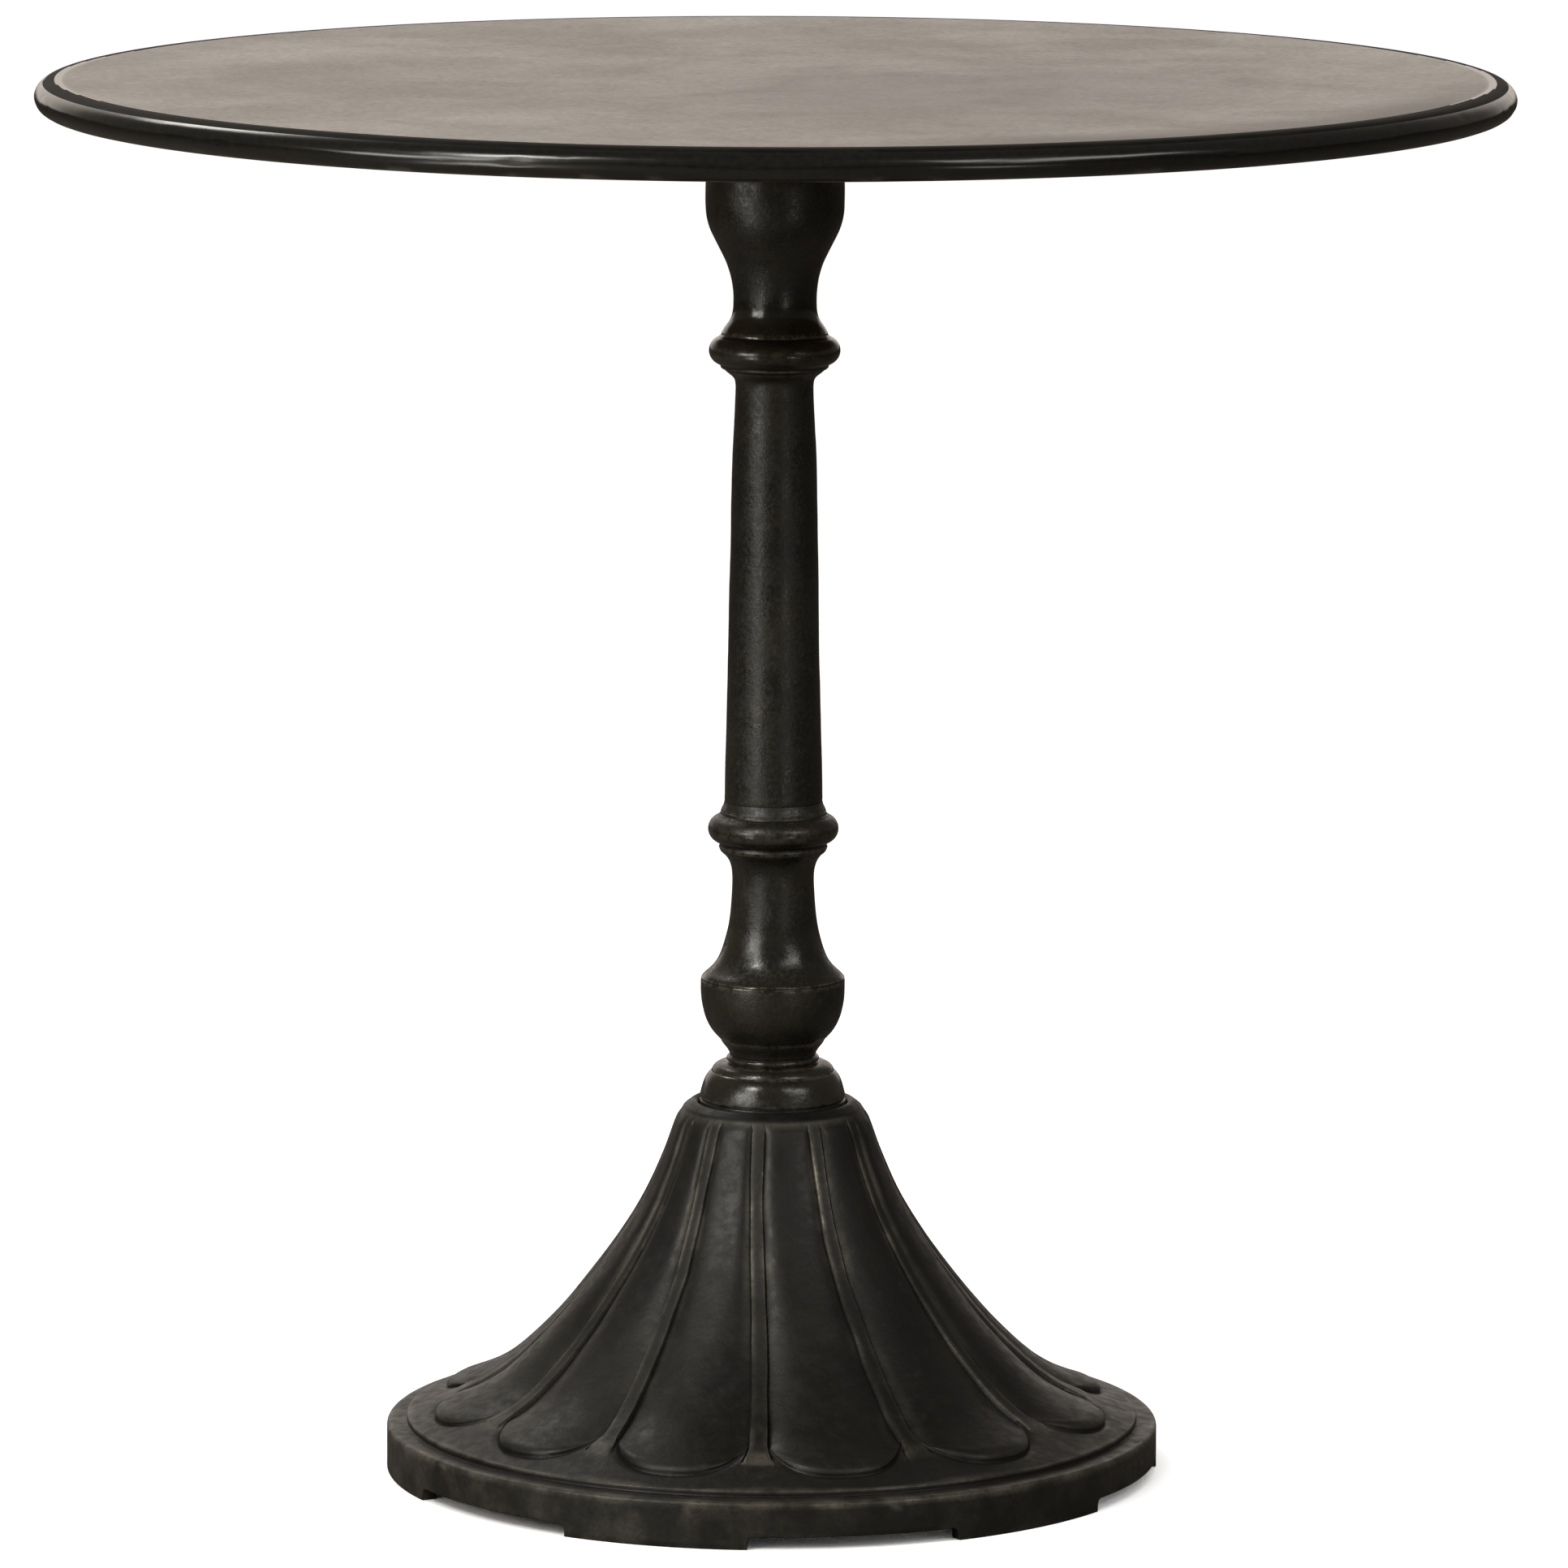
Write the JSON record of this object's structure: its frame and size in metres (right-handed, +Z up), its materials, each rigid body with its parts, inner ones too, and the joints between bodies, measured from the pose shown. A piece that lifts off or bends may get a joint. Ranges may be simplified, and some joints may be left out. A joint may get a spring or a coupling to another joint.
{
  "type": "bistro table",
  "caption": "Round metal-clad bistro table on a turned cast-iron column with a fluted bell base, stepped plinth and cast feet.",
  "frame": {"origin": "on the floor, under the middle of the table", "axes": "+Z up; -Y is the front; the base's ribs stand 1.5 degrees left of front and every 30 degrees from there"},
  "size_m": [0.797, 0.797, 0.762],
  "materials": {
    "sheet": "dark patinated sheet metal, waxed, satin on top and glossier on the rolled rim",
    "plywood": "unfinished birch plywood, darkened",
    "tack_steel": "blued",
    "column_iron": "blackened and waxed, soft gloss",
    "base_iron": "blackened, duller, rubbed along ribs and edges",
    "zinc_steel": "zinc plated"
  },
  "bodies": {
    "root": {"top_sheet": "sheet", "top_core": "plywood", "hem_tack_01": "tack_steel", "hem_tack_02": "tack_steel", "hem_tack_03": "tack_steel", "hem_tack_04": "tack_steel", "hem_tack_05": "tack_steel", "hem_tack_06": "tack_steel", "hem_tack_07": "tack_steel", "hem_tack_08": "tack_steel", "hem_tack_09": "tack_steel", "hem_tack_10": "tack_steel", "hem_tack_11": "tack_steel", "hem_tack_12": "tack_steel", "top_spider": "column_iron", "spider_screw_1": "zinc_steel", "spider_screw_2": "zinc_steel", "spider_screw_3": "zinc_steel", "spider_screw_4": "zinc_steel", "spider_screw_5": "zinc_steel", "spider_screw_6": "zinc_steel", "spider_screw_7": "zinc_steel", "spider_screw_8": "zinc_steel", "column_capital": "column_iron", "column_shaft": "column_iron", "column_vase": "column_iron", "column_bowl": "column_iron", "base_collar": "column_iron", "base_casting": "base_iron", "tie_rod": "zinc_steel", "rod_top_washer": "zinc_steel", "rod_top_nut": "zinc_steel", "rod_bottom_washer": "zinc_steel", "rod_lock_washer": "zinc_steel", "rod_bottom_nut": "zinc_steel"}
  },
  "joints": []
}
